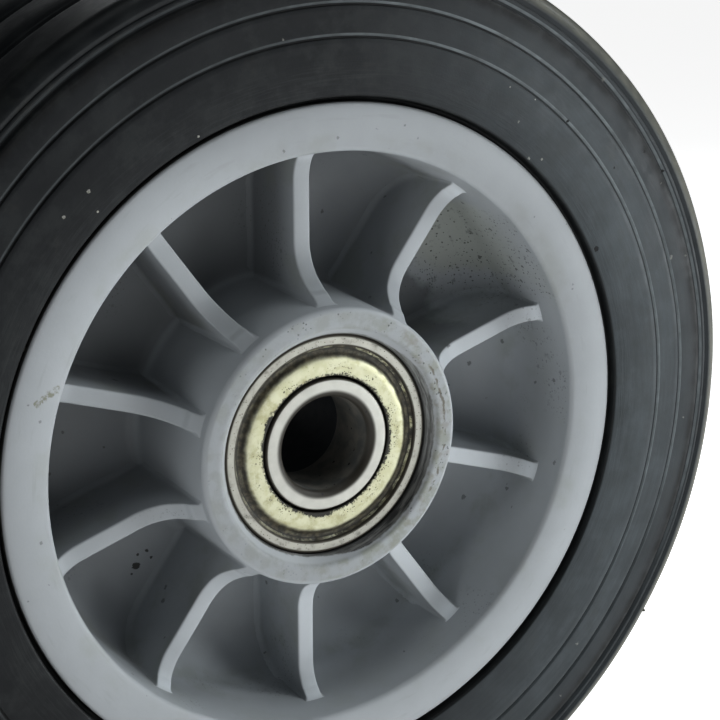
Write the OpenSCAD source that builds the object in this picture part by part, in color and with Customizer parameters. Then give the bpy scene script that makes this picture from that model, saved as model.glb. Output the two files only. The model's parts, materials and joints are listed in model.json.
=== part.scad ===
// Gate wheel: a rubber tyre on a ribbed plastic wheel that turns on two
// shielded deep-groove ball bearings.
//
// The axle runs along Y, +Z is up and the wheel's centre is the origin.
// The front of the wheel faces -Y. Lengths are in millimetres.
// Outlines are drawn as [radius, height], where height is the distance from
// the wheel's middle along the axle, the same on both sides.

/* [Tyre] */
// Outside diameter of the tyre
tyre_d = 150; // [146:1:160]
// Width of the tyre over its sidewalls
tyre_w = 52; // [51:0.5:56]
// Radius of the tyre's rounded shoulders
shoulder_r = 2.5; // [1.5:0.5:3]
// Number of grooves round the tread
tread_grooves = 3; // [1:1:4]
// Width of each tread groove
tread_groove_w = 2; // [1:0.5:3]
// Depth of each tread groove
tread_groove_d = 1.5; // [0.5:0.5:3]

/* [Wheel moulding] */
// Width of the hub, from face to face
hub_w = 50; // [46:1:54]
// Outside diameter of the hub
hub_d = 43.9; // [42:0.1:46]
// Outside diameter of the rim
rim_d = 105; // [104:0.5:108]
// Inside diameter of the rim at its lip
rim_inner_d = 90.5; // [88:0.5:92]
// Thickness of the closed web between hub and rim
web_t = 4.6; // [3:0.2:7]
// Number of ribs on each side of the web
ribs = 10; // [6:1:12]
// Thickness of each rib
rib_t = 3; // [2:0.2:4]
// Height of the ribs' hollow back, from the wheel's middle
rib_back_z = 15.55; // [14:0.05:17]

/* [Bearings] */
// Bore of each bearing
bearing_bore_d = 15; // [15:15]
// Outside diameter of each bearing
bearing_d = 35; // [35:35]
// Width of each bearing
bearing_w = 11; // [11:11]
// Diameter of the bearing balls
ball_d = 5.953; // [5.953:5.953]
// Number of balls in each bearing
balls = 8; // [6:1:8]
// How far each bearing's outer face lies below the hub's face
bearing_recess = 2; // [1:0.5:3]

/* [Spacer] */
// Outside diameter of the tube between the inner rings
spacer_d = 20; // [18.5:0.5:20.5]
// Bore of that tube
spacer_bore_d = 17; // [16:0.1:17.5]

/* [Hidden] */
$fn = 96;
eps = 0.05;
lap = 0.5;                           // half outlines reach this far past the middle

// Tyre
tyre_r = tyre_d / 2;
tyre_z = tyre_w / 2;
bead_gap = 1;                        // open slit between rim edge and tyre
bead_gap_depth = 2.2;
inner_wall_drop = 0.4;               // sidewall falls away towards the rim
inner_wall_r = rim_d / 2 + bead_gap;
crown_wall_r = tyre_r - 17;
sidewall_grooves = [13.1, 8.5];      // distances in from the tread
sidewall_groove_w = 0.9;
sidewall_groove_d = 0.55;
shoulder_groove = 3.7;
shoulder_groove_w = 1.3;
shoulder_groove_d = 0.75;

// Rim
rim_r = rim_d / 2;
rim_inner_r = rim_inner_d / 2;
rim_draft = 0.75;
rim_z = hub_w / 2;
lip_round_r = 8;
lip_crown_r = rim_r - 2.6;
holding_band_h = 2.5;                // band round the rim that locks the tyre
holding_band_z = 8;
holding_band_slope = 1.5;

// Web and hub
web_z = web_t / 2;
hub_r = hub_d / 2;
hub_z = hub_w / 2;
hub_edge_r = 1;
hub_draft = 0.75;
hub_root_r = 2;
rim_root_r = 8;
lead_in = 1.5;
lead_in_h = 1.8;

// Ribs
rib_first_angle = 18;
rib_hub_slope = 57;
rib_hub_arc_r = 6.9;
rib_hub_arc_x = 30.4;
rib_rim_arc_r = 6.48;
rib_rim_arc_x = 39.5;
rib_top_z = hub_z - 1.5;

// Bearings, drawn about their own middle
bore_r = bearing_bore_d / 2;
bearing_r = bearing_d / 2;
bearing_z = bearing_w / 2;
bearing_mid = hub_z - bearing_recess - bearing_z;
bearing_inner_face = bearing_mid - bearing_z;
ball_r = ball_d / 2;
pitch_r = (bore_r + bearing_r) / 2;
ball_gap = 0.03;
raceway_r = 1.04 * ball_r;
inner_ring_r = 10.46;
outer_ring_land_r = 14.6;
ring_chamfer = 0.6;
inner_edge_chamfer = 0.2;
shield_seat_r = 15.65;
shield_groove_r = 15.9;
shield_seat_z = 4.2;
shield_edge_z = 4.4;
shield_t = 0.35;
shield_face_z = bearing_z - 0.2;
shield_dish_z = 4.75;
shield_bore_r = 10.85;
shield_flat_r = 13.9;
shield_dish_r = 14.3;
bearing_shoulder_r = 15;
first_ball_angle = 90;
ball_angle = 360 / balls;

// Cage
cage_t = 0.5;
cage_inner_r = 11.3;
cage_outer_r = 13.7;
cage_pocket_r = ball_r + 0.16;
rivet_r = 0.5;
rivet_head_r = 0.85;
rivet_head_t = 0.4;

SIDES = ["front", "rear"];

// Turns an outline's axis onto the axle, pointing out of the named side.
module on_side(side) {
  rotate([side == "front" ? 90 : -90, 0, 0]) children();
}

// Adds the mirror image of a half section on the other side of the middle.
module both_halves() {
  children();
  mirror([0, 1]) children();
}

// A V-shaped groove round a sidewall, at a distance in from the tread.
module sidewall_groove(inset, w, d) {
  r = tyre_r - inset;
  polygon([
    [r - w / 2, tyre_z + eps],
    [r + w / 2, tyre_z + eps],
    [r, tyre_z - d]
  ]);
}

// What is taken off one side of the tyre: the dip and the slit next to the
// rim, and the grooves further out.
module sidewall_cuts() {
  polygon([
    [rim_r - 1, tyre_z + eps],
    [rim_r - 1, tyre_z - bead_gap_depth],
    [inner_wall_r, tyre_z - bead_gap_depth],
    [inner_wall_r, tyre_z - inner_wall_drop],
    [crown_wall_r, tyre_z],
    [crown_wall_r, tyre_z + eps]
  ]);
  for (inset = sidewall_grooves) {
    sidewall_groove(inset, sidewall_groove_w, sidewall_groove_d);
  }
  sidewall_groove(shoulder_groove, shoulder_groove_w, shoulder_groove_d);
}

// The raised band round the rim that the tyre is moulded over.
module holding_band() {
  polygon([
    [rim_r - 1, -holding_band_z - holding_band_slope],
    [rim_r, -holding_band_z - holding_band_slope],
    [rim_r + holding_band_h, -holding_band_z],
    [rim_r + holding_band_h, holding_band_z],
    [rim_r, holding_band_z + holding_band_slope],
    [rim_r - 1, holding_band_z + holding_band_slope]
  ]);
}

module tread_groove(z) {
  translate([tyre_r - tread_groove_d, z - tread_groove_w / 2])
    square([tread_groove_d + eps, tread_groove_w]);
}

module tyre_blank() {
  shoulder_x = tyre_r - shoulder_r;
  shoulder_z = tyre_z - shoulder_r;
  translate([rim_r, -tyre_z]) square([shoulder_x - rim_r, tyre_w]);
  translate([rim_r, -shoulder_z]) square([tyre_r - rim_r, 2 * shoulder_z]);
  for (z = [-shoulder_z, shoulder_z]) {
    translate([shoulder_x, z]) circle(r = shoulder_r);
  }
}

module tyre() {
  groove_pitch = tyre_w / (tread_grooves + 1);
  color("#34383d") on_side("rear") rotate_extrude() difference() {
    tyre_blank();
    sidewall_cuts();
    mirror([0, 1]) sidewall_cuts();
    holding_band();
    for (i = [1 : tread_grooves]) {
      tread_groove(-tyre_z + i * groove_pitch);
    }
  }
}

module hub_half_section() {
  edge_z = hub_z - hub_edge_r;
  polygon([
    [bearing_shoulder_r, -lap],
    [bearing_shoulder_r, bearing_inner_face],
    [bearing_r, bearing_inner_face],
    [bearing_r, hub_z - lead_in_h],
    [bearing_r + lead_in, hub_z],
    [hub_r - hub_edge_r, hub_z],
    [hub_r, edge_z],
    [hub_r + hub_draft, -lap]
  ]);
  translate([hub_r - hub_edge_r, edge_z]) circle(r = hub_edge_r);
}

module web_half_section() {
  hub_root_x = hub_r + hub_draft;
  rim_root_x = rim_inner_r - rim_draft;
  difference() {
    translate([hub_root_x - 1, -lap])
      square([rim_root_x - hub_root_x + 2, lap + web_z + rim_root_r]);
    translate([hub_root_x + hub_root_r, web_z])
      square([rim_root_x - rim_root_r - hub_root_x - hub_root_r, rim_root_r + eps]);
    translate([hub_root_x, web_z + hub_root_r])
      square([rim_root_x - rim_root_r - hub_root_x, rim_root_r]);
    translate([hub_root_x + hub_root_r, web_z + hub_root_r]) circle(r = hub_root_r);
    translate([rim_root_x - rim_root_r, web_z + rim_root_r]) circle(r = rim_root_r);
  }
}

module rim_half_section() {
  crown_z = rim_z - lip_round_r;
  intersection() {
    polygon([
      [rim_inner_r - rim_draft, -lap],
      [rim_inner_r - rim_draft, web_z + rim_root_r],
      [rim_inner_r, rim_z],
      [rim_r, rim_z],
      [rim_r, -lap]
    ]);
    union() {
      translate([0, -lap]) square([rim_r, crown_z + lap]);
      translate([lip_crown_r, crown_z]) circle(r = lip_round_r);
    }
  }
}

// One rib standing on the web, its back hollowed between hub and rim.
module rib() {
  foot_x = hub_r - 0.5;
  rim_x = rim_inner_r + 0.3;
  hub_arc_centre = [rib_hub_arc_x, rib_back_z + rib_hub_arc_r];
  slope_foot = hub_arc_centre - rib_hub_arc_r * [sin(rib_hub_slope), cos(rib_hub_slope)];
  slope_run = hub_z * [-cos(rib_hub_slope), sin(rib_hub_slope)];
  rotate([90, 0, 0]) linear_extrude(height = rib_t, center = true) difference() {
    translate([foot_x, 0]) square([rim_x - foot_x, rib_top_z]);
    translate(hub_arc_centre) circle(r = rib_hub_arc_r);
    polygon([slope_foot, hub_arc_centre, hub_arc_centre + slope_run, slope_foot + slope_run]);
    translate([rib_rim_arc_x, rib_back_z + rib_rim_arc_r]) circle(r = rib_rim_arc_r);
    translate([rib_hub_arc_x, rib_back_z])
      square([rib_rim_arc_x - rib_hub_arc_x, hub_z]);
    translate([rib_rim_arc_x, rib_back_z + rib_rim_arc_r])
      square([rib_rim_arc_r, hub_z]);
  }
}

module wheel_hub() {
  color("#a9aeb5") {
    on_side("rear") rotate_extrude() {
      both_halves() hub_half_section();
      both_halves() web_half_section();
      both_halves() rim_half_section();
      holding_band();
    }
    for (side = SIDES, i = [0 : ribs - 1]) {
      on_side(side) rotate([0, 0, rib_first_angle + i * 360 / ribs]) rib();
    }
  }
}

module spacer_tube() {
  color("#9a9c9e") on_side("rear") difference() {
    cylinder(d = spacer_d, h = 2 * bearing_inner_face, center = true);
    cylinder(d = spacer_bore_d, h = 2 * bearing_inner_face + 1, center = true);
  }
}

// Places a bearing part, drawn about the bearing's middle, in its hub seat.
module in_bearing(side) {
  on_side(side) translate([0, 0, bearing_mid]) children();
}

module inner_ring(side) {
  groove_x = pitch_r - ball_r - ball_gap + raceway_r;
  color("#b9b6af") in_bearing(side) rotate_extrude() difference() {
    polygon([
      [bore_r, bearing_z - ring_chamfer],
      [bore_r + ring_chamfer, bearing_z],
      [inner_ring_r - inner_edge_chamfer, bearing_z],
      [inner_ring_r, bearing_z - inner_edge_chamfer],
      [inner_ring_r, inner_edge_chamfer - bearing_z],
      [inner_ring_r - inner_edge_chamfer, -bearing_z],
      [bore_r + ring_chamfer, -bearing_z],
      [bore_r, ring_chamfer - bearing_z]
    ]);
    translate([groove_x, 0]) circle(r = raceway_r);
  }
}

module outer_ring(side) {
  groove_x = pitch_r + ball_r + ball_gap - raceway_r;
  color("#b9b6af") in_bearing(side) rotate_extrude() difference() {
    both_halves() difference() {
      polygon([
        [outer_ring_land_r, -lap],
        [outer_ring_land_r, shield_seat_z],
        [shield_seat_r, shield_seat_z],
        [shield_seat_r, bearing_z],
        [bearing_r - ring_chamfer, bearing_z],
        [bearing_r, bearing_z - ring_chamfer],
        [bearing_r, -lap]
      ]);
      translate([shield_seat_r - eps, shield_edge_z])
        square([shield_groove_r - shield_seat_r + eps, 1.5 * shield_t]);
    }
    translate([groove_x, 0]) circle(r = raceway_r);
  }
}

// A pressed shield; its edge is crimped into the outer ring's groove.
module shield(side, face) {
  color("#b3a47c") in_bearing(side) mirror([0, 0, face == "inner" ? 1 : 0])
    rotate_extrude() polygon([
      [shield_bore_r, shield_face_z - shield_t],
      [shield_bore_r, shield_face_z],
      [shield_flat_r, shield_face_z],
      [shield_dish_r, shield_dish_z],
      [shield_groove_r, shield_dish_z],
      [shield_groove_r, shield_edge_z],
      [shield_dish_r - shield_t / 2, shield_edge_z],
      [shield_flat_r - shield_t / 2, shield_face_z - shield_t]
    ]);
}

module at_each_ball() {
  for (i = [0 : balls - 1]) {
    rotate([0, 0, first_ball_angle + i * ball_angle])
      translate([pitch_r, 0, 0]) children();
  }
}

module at_each_rivet() {
  rotate([0, 0, ball_angle / 2]) at_each_ball() children();
}

// One half of the riveted ribbon cage, cupped round every ball.
module cage_half(side, face) {
  cup_r = cage_pocket_r + cage_t;
  color("#a8a59c") in_bearing(side) mirror([0, 0, face == "inner" ? 1 : 0]) difference() {
    intersection() {
      union() {
        cylinder(r = cage_outer_r + 1, h = cage_t);
        at_each_ball() sphere(r = cup_r);
      }
      difference() {
        cylinder(r = cage_outer_r, h = bearing_z);
        translate([0, 0, -1]) cylinder(r = cage_inner_r, h = bearing_z + 2);
      }
    }
    at_each_ball() sphere(r = cage_pocket_r);
    at_each_rivet() cylinder(r = rivet_r, h = 4 * cage_t, center = true);
  }
}

module cage_rivets(side) {
  color("#8f8c84") in_bearing(side) at_each_rivet() {
    cylinder(r = rivet_r, h = 2 * (cage_t + rivet_head_t), center = true);
    translate([0, 0, cage_t]) cylinder(r = rivet_head_r, h = rivet_head_t);
    translate([0, 0, -cage_t - rivet_head_t]) cylinder(r = rivet_head_r, h = rivet_head_t);
  }
}

module ball(side, i) {
  color("#c9cacb") in_bearing(side)
    rotate([0, 0, first_ball_angle + (i - 1) * ball_angle])
      translate([pitch_r, 0, 0]) sphere(r = ball_r);
}

tyre();
wheel_hub();
spacer_tube();
for (s = SIDES) {
  outer_ring(s);
  inner_ring(s);
  shield(s, "outer");
  shield(s, "inner");
  cage_half(s, "outer");
  cage_half(s, "inner");
  cage_rivets(s);
  for (i = [1 : balls]) {
    ball(s, i);
  }
}
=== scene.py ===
"""Looks for the gate wheel: a rubber tyre on a ribbed plastic wheel with two ball bearings.

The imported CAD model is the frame. Pieces are worked out here in millimetres and made in metres.
An outline is a list of (radius, height) points. Height is the distance from the wheel's middle
along the axle, positive towards the front, which faces -Y.
"""
import json
import math
import random

import bpy
import numpy as np
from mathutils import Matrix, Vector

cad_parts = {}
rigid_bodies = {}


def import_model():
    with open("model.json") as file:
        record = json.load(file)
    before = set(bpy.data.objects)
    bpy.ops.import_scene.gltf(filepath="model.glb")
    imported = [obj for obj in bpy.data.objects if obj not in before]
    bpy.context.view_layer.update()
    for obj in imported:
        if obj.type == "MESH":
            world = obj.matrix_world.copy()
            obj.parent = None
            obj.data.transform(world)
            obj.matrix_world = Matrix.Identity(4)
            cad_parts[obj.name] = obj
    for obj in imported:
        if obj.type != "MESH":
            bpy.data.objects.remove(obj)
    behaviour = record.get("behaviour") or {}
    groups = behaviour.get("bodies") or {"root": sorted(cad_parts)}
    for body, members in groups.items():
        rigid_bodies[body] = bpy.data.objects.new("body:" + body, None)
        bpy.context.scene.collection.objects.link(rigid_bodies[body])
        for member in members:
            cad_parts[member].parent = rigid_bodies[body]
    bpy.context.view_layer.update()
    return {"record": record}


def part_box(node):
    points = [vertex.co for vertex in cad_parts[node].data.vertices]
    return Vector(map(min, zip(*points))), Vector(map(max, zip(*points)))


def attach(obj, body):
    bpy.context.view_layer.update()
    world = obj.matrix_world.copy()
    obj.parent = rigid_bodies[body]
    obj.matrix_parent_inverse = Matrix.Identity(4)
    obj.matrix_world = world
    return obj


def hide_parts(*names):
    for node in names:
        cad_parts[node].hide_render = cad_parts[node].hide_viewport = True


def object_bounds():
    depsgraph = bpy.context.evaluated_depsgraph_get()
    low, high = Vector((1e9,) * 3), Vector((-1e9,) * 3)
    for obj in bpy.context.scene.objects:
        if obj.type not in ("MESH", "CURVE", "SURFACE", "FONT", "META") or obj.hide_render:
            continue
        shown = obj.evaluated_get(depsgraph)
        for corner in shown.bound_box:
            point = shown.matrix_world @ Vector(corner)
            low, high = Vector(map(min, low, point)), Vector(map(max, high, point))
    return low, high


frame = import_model()

MM = 0.001
STEPS = 480                       # segments round the axle on large turned pieces
FINE_STEPS = 256                  # and on the bearings' pieces


def size_of(node):
    """(largest radius, half width or outermost face) of a turned CAD node, in millimetres."""
    low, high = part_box(node)
    return high.x / MM, max(abs(low.y), abs(high.y)) / MM


TYRE_R, TYRE_H = size_of("tyre")
BAND_R, HUB_H = size_of("wheel_hub")
BEARING_R, BEARING_H = size_of("front_outer_ring")
INNER_RING_R, _ = size_of("front_inner_ring")
_, SHIELD_H = size_of("front_outer_shield")
BEARING_W = (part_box("front_outer_ring")[1].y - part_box("front_outer_ring")[0].y) / MM
BORE_R = next(m for m in frame["record"]["mounts"] if m["name"] == "axle_bore")["dims"]["r_mm"]

# Wheel moulding
RIM_R = BAND_R - 2.5              # the holding band stands 2.5 mm proud under the tyre
HOLDING_BAND = [(RIM_R, 9.5), (BAND_R, 8.0), (BAND_R, 0.0)]
RIM_INNER_R = 45.25
HUB_R = 21.95
DRAFT = 0.75                      # how far hub and rim walls lean over their height
WEB_H = 2.3
HUB_ROOT_R = 2.0
RIM_ROOT_R = 8.0
LIP_CROWN_R = RIM_R - 2.6
LIP_ROUND_R = 15.0
LIP_INNER_EDGE = 0.95
LIP_OUTER_EDGE = 0.6
HUB_EDGE = 0.9
SEAT_SHOULDER_R = 15.0
LEAD_IN = 1.5
LEAD_IN_H = 1.8

# Ribs
RIBS = 10
RIB_FIRST = math.radians(18)
RIB_T = 2.8
RIB_DRAFT = 0.03
RIB_EDGE = 0.32
RIB_WEB_FLARE = 1.0
RIB_WALL_FLARE = 0.5
RIB_BACK_H = 15.55


def arc(cx, cy, r, start, end, n):
    """n + 1 points on an arc, angles in degrees."""
    return [
        (cx + r * math.cos(math.radians(a)), cy + r * math.sin(math.radians(a)))
        for a in np.linspace(start, end, n + 1)
    ]


def line(a, b, n):
    """n points from a towards b, without b."""
    return [(a[0] + (b[0] - a[0]) * i / n, a[1] + (b[1] - a[1]) * i / n) for i in range(n)]


def mirrored(half):
    """A closed outline from its front half, leaving out the mirror image of points at height 0."""
    return half + [(r, -h) for r, h in reversed(half) if abs(h) > 1e-6]


def make(name, verts, faces, body):
    """A mesh object in metres, with faces turned outwards, that rides on a body."""
    mesh = bpy.data.meshes.new(name)
    mesh.from_pydata((np.asarray(verts, float) * MM).tolist(), [], [list(f) for f in faces])
    mesh.validate()
    mesh.polygons.foreach_set("use_smooth", [True] * len(mesh.polygons))
    piece = bpy.data.objects.new(name, mesh)
    bpy.context.scene.collection.objects.link(piece)
    if body:
        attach(piece, body)
    return piece


def turned(outline, steps, wobble=None):
    """Vertices and faces of a closed outline turned round the axle.

    wobble(angle, r, h) gives how far each point moves, as (dr, dh).
    """
    profile = np.asarray(outline, float)
    n = len(profile)
    angle = np.arange(steps) * 2 * math.pi / steps
    a, r = np.meshgrid(angle, profile[:, 0], indexing="ij")
    _, h = np.meshgrid(angle, profile[:, 1], indexing="ij")
    if wobble:
        dr, dh = wobble(a, r, h)
        r, h = r + dr, h + dh
    verts = np.stack([r * np.cos(a), -h, r * np.sin(a)], -1).reshape(-1, 3)
    i, j = np.meshgrid(np.arange(steps), np.arange(n), indexing="ij")
    i2, j2 = (i + 1) % steps, (j + 1) % n
    faces = np.stack([i * n + j, i * n + j2, i2 * n + j2, i2 * n + j], -1).reshape(-1, 4)
    # a loop that runs clockwise in (r, h) needs its faces turned over
    area = np.sum(profile[:, 0] * np.roll(profile[:, 1], -1) - np.roll(profile[:, 0], -1) * profile[:, 1])
    if area < 0:
        faces = faces[:, ::-1]
    return verts, faces


# ------------------------------------------------------------------ tyre
TREAD_SWELL = 0.4
TREAD_GROOVE_W = 2.0
TREAD_GROOVE_D = 1.5
TREAD_GROOVE_PITCH = TYRE_H / 2
SHOULDER_R = 2.5
BEAD_GAP = 0.75
BEAD_GAP_BOTTOM = TYRE_H - 2.2
BEAD_EDGE = 0.5
BEAD_DROP = 0.4
SHOULDER_DROP = 0.28
SIDEWALL_GROOVES = ((61.9, 0.70, 0.26), (66.5, 0.74, 0.28))      # radius, width, depth
SHOULDER_GROOVE = (71.1, 1.10, 0.50)
HAIR_GROOVE = (72.25, 0.38, 0.14)


def tread_groove(h):
    """Points across one tread groove, in order of rising height."""
    half, bottom, top = TREAD_GROOVE_W / 2, TYRE_R - TREAD_GROOVE_D, TYRE_R
    rise = [(bottom, half - 0.25), (bottom + 0.25, half), (top - 0.25, half + 0.03), (top, half + 0.3)]
    fall = [(r, -dh) for r, dh in reversed(rise)]
    return [(r, h + dh) for r, dh in fall + rise]


def sidewall_h(r):
    """Height of the sidewall's plain surface: it falls away towards the rim and dips to the shoulder."""
    inner = max(0.0, (60.0 - r) / 6.5)
    outer = max(0.0, (r - 67.5) / 4.5)
    return TYRE_H - BEAD_DROP * inner**2 - SHOULDER_DROP * outer**2


def sidewall_groove(r, width, depth):
    """Points across a groove in the sidewall, from its sloping outer flank to its steep inner one."""
    share = ((0.60, 0.0), (0.50, 0.03), (0.40, 0.15), (0.02, 0.85), (-0.10, 1.0),
             (-0.24, 1.0), (-0.34, 0.85), (-0.42, 0.12), (-0.50, 0.0))
    return [(r + width * s, sidewall_h(r + width * s) - depth * d) for s, d in share]


def tyre_outline():
    tread = tread_groove(0.0)[4:] + tread_groove(TREAD_GROOVE_PITCH)
    half = [(TYRE_R - TREAD_GROOVE_D, 0.0)] + tread
    half += line((TYRE_R, TREAD_GROOVE_PITCH + 2), (TYRE_R, TYRE_H - SHOULDER_R), 4)
    half += arc(TYRE_R - SHOULDER_R, TYRE_H - SHOULDER_R - 0.12, SHOULDER_R, 0, 86, 14)
    half += sidewall_groove(*HAIR_GROOVE)
    half += sidewall_groove(*SHOULDER_GROOVE)
    half += [(r, sidewall_h(r)) for r in np.arange(70.0, 67.2, -0.7)]
    half += sidewall_groove(*SIDEWALL_GROOVES[1])
    half += [(r, sidewall_h(r)) for r in np.arange(65.5, 62.6, -0.7)]
    half += sidewall_groove(*SIDEWALL_GROOVES[0])
    half += [(r, sidewall_h(r)) for r in np.arange(60.8, 54.4, -0.8)]
    bead_r = RIM_R + BEAD_GAP
    edge = sidewall_h(bead_r)
    half += arc(bead_r + BEAD_EDGE, edge - BEAD_EDGE, BEAD_EDGE, 90, 180, 5)
    half += [(bead_r, BEAD_GAP_BOTTOM + 0.3), (bead_r - 0.3, BEAD_GAP_BOTTOM), (RIM_R, BEAD_GAP_BOTTOM)]
    half += HOLDING_BAND
    return mirrored(half)


def tyre_wobble(a, r, h):
    """Rubber is never quite true: slow waves, strongest at the shoulders."""
    free = np.clip((r - RIM_R) / (TYRE_R - RIM_R), 0, 1)
    dr = TREAD_SWELL * free**6 + 0.05 * free * (np.sin(3 * a + 0.7) + 0.6 * np.sin(7 * a + 2.1 + h / 9))
    side = np.clip((np.abs(h) - 20) / 5, 0, 1) * free
    dh = np.sign(h) * side * (0.05 * np.sin(5 * a + 1.3) + 0.03 * np.sin(13 * a))
    return dr, dh - np.sign(h) * 0.08 * side


NIBS = ((-33.6, 1), (-82, 1), (205, 1), (-50, -1), (75, -1), (190, -1))      # degrees round, side


def nib(angle_deg, side, r=73.9, h=24.6, tall=1.2, wide=0.45):
    """A moulding nib on a shoulder: a small tapered stalk that leans outwards."""
    rings, around = 6, 12
    a = math.radians(angle_deg)
    radial, tangent = np.array([math.cos(a), 0, math.sin(a)]), np.array([-math.sin(a), 0, math.cos(a)])
    axle = np.array([0, -side, 0.0])
    out = 0.75 * radial + 0.66 * axle
    across = np.cross(out, tangent)
    foot = r * radial + h * axle
    verts, faces = [], []
    for k in range(rings):
        t = k / (rings - 1)
        radius = wide * (1 - 0.35 * t) * math.sqrt(max(0.02, 1 - t**6))
        for q in range(around):
            b = 2 * math.pi * q / around
            spoke = math.cos(b) * tangent + math.sin(b) * across
            verts.append(foot + out * (tall * (t * 1.5 - 0.5)) + radius * spoke)
    for k in range(rings - 1):
        for q in range(around):
            q2 = (q + 1) % around
            faces.append((k * around + q, k * around + q2, (k + 1) * around + q2, (k + 1) * around + q))
    faces.append(tuple(reversed(range(around))))
    faces.append(tuple((rings - 1) * around + q for q in range(around)))
    return verts, faces


def make_tyre():
    verts, faces = turned(tyre_outline(), STEPS, tyre_wobble)
    verts, faces = verts.tolist(), [list(f) for f in faces]
    for angle, side in NIBS:
        more, its = nib(angle, side)
        base = len(verts)
        verts += [list(v) for v in more]
        faces += [[i + base for i in f] for f in its]
    tyre = make("tyre_rubber", verts, faces, "wheel")
    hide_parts("tyre")
    return tyre


# ---------------------------------------------------------- wheel moulding
def hub_wall(h):
    return HUB_R + DRAFT * (HUB_H - h) / HUB_H


def rim_wall(h):
    return RIM_INNER_R - DRAFT * (HUB_H - h) / (HUB_H - WEB_H - RIM_ROOT_R)


def lip_points():
    """The rim's lip: a crowned face between two small rounded edges."""
    cx, cy = LIP_CROWN_R, HUB_H - LIP_ROUND_R

    def corner(wall, sign, edge):
        x = wall - sign * edge
        y = cy + math.sqrt((LIP_ROUND_R - edge) ** 2 - (x - cx) ** 2)
        return x, y, math.degrees(math.atan2(y - cy, x - cx))

    x0, y0, a0 = corner(rim_wall(HUB_H - 1.6), -1, LIP_INNER_EDGE)
    x1, y1, a1 = corner(RIM_R, 1, LIP_OUTER_EDGE)
    return (
        arc(x0, y0, LIP_INNER_EDGE, 180, a0, 6)
        + arc(cx, cy, LIP_ROUND_R, a0, a1, 16)[1:-1]
        + arc(x1, y1, LIP_OUTER_EDGE, a1, 0, 6)
    )


def moulding_outline():
    seat_foot = BEARING_H - BEARING_W
    hub_foot, rim_foot = hub_wall(WEB_H + HUB_ROOT_R), rim_wall(WEB_H + RIM_ROOT_R)
    cone_top = BEARING_R + LEAD_IN
    half = [(SEAT_SHOULDER_R, 0.0), (SEAT_SHOULDER_R, seat_foot - 0.2), (SEAT_SHOULDER_R + 0.2, seat_foot)]
    half += [(BEARING_R, seat_foot), (BEARING_R, HUB_H - LEAD_IN_H)]
    half += line((BEARING_R, HUB_H - LEAD_IN_H), (cone_top - 0.25, HUB_H - 0.28), 4)[1:]
    half += [(cone_top - 0.2, HUB_H - 0.22), (cone_top, HUB_H - 0.06), (cone_top + 0.3, HUB_H)]
    half += line((cone_top + 0.6, HUB_H), (HUB_R - HUB_EDGE, HUB_H), 3)
    half += arc(HUB_R - HUB_EDGE, HUB_H - HUB_EDGE, HUB_EDGE, 90, 2, 10)
    half += [(hub_wall(h), h) for h in np.linspace(HUB_H - 2.2, WEB_H + HUB_ROOT_R + 0.4, 12)]
    half += arc(hub_foot + HUB_ROOT_R, WEB_H + HUB_ROOT_R, HUB_ROOT_R, 180, 270, 8)
    half += line((hub_foot + HUB_ROOT_R + 1, WEB_H), (rim_foot - RIM_ROOT_R - 1, WEB_H), 4)
    half += arc(rim_foot - RIM_ROOT_R, WEB_H + RIM_ROOT_R, RIM_ROOT_R, -90, 0, 20)
    half += [(rim_wall(h), h) for h in np.linspace(WEB_H + RIM_ROOT_R + 1, HUB_H - 2.6, 9)]
    half += lip_points()
    half += [(RIM_R, HUB_H - 1.6)] + HOLDING_BAND
    return mirrored(half)


def smooth_step(x, start, end):
    t = np.clip((x - start) / (end - start), 0, 1)
    return t * t * (3 - 2 * t)


HUB_ARC_U, HUB_ARC_R, HUB_SLOPE = 30.4, 6.9, math.radians(57)
RIM_ARC_U, RIM_ARC_R = 39.5, 6.48
HUB_STEP, RIM_STEP = 0.35, 0.12   # small steps where a rib's back meets the hub and the rim
HUB_STEP_U, RIM_STEP_U = (23.2, 23.7), (43.4, 43.8)
RIB_BELOW_HUB = 1.3


def rib_top(u):
    """Height of a rib's back: a straight run down from the hub, a hollow, and a curve up to the rim."""
    tangent_u = HUB_ARC_U - HUB_ARC_R * math.sin(HUB_SLOPE)
    tangent_h = RIB_BACK_H + HUB_ARC_R * (1 - math.cos(HUB_SLOPE))
    if u < tangent_u:
        h = tangent_h + (tangent_u - u) * math.tan(HUB_SLOPE)
    elif u < HUB_ARC_U:
        h = RIB_BACK_H + HUB_ARC_R - math.sqrt(HUB_ARC_R**2 - (HUB_ARC_U - u) ** 2)
    elif u > RIM_ARC_U:
        h = RIB_BACK_H + RIM_ARC_R - math.sqrt(RIM_ARC_R**2 - (u - RIM_ARC_U) ** 2)
    else:
        h = RIB_BACK_H
    step = HUB_STEP * (1 - smooth_step(u, *HUB_STEP_U)) + RIM_STEP * smooth_step(u, *RIM_STEP_U)
    return min(h + step, HUB_H - RIB_BELOW_HUB)


def root_flare(d, radius):
    """How much a rib's side moves out at distance d from a wall it meets with a fillet."""
    d = min(max(d, 0.0), radius)
    return radius - math.sqrt(radius**2 - (radius - d) ** 2)


def rib_half_t(u, h, top):
    plain = RIB_T / 2 + RIB_DRAFT * (top - h)
    across = math.hypot(u, plain)
    corner_u, corner_h = rim_wall(WEB_H + RIM_ROOT_R) - RIM_ROOT_R, WEB_H + RIM_ROOT_R
    to_web = h - WEB_H
    if u > corner_u and h < corner_h:
        to_web = RIM_ROOT_R - math.hypot(across - corner_u, h - corner_h)
    to_wall = min(across - hub_wall(h), rim_wall(max(h, corner_h)) - across)
    return plain + max(root_flare(to_web, RIB_WEB_FLARE), root_flare(to_wall, RIB_WALL_FLARE))


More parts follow.
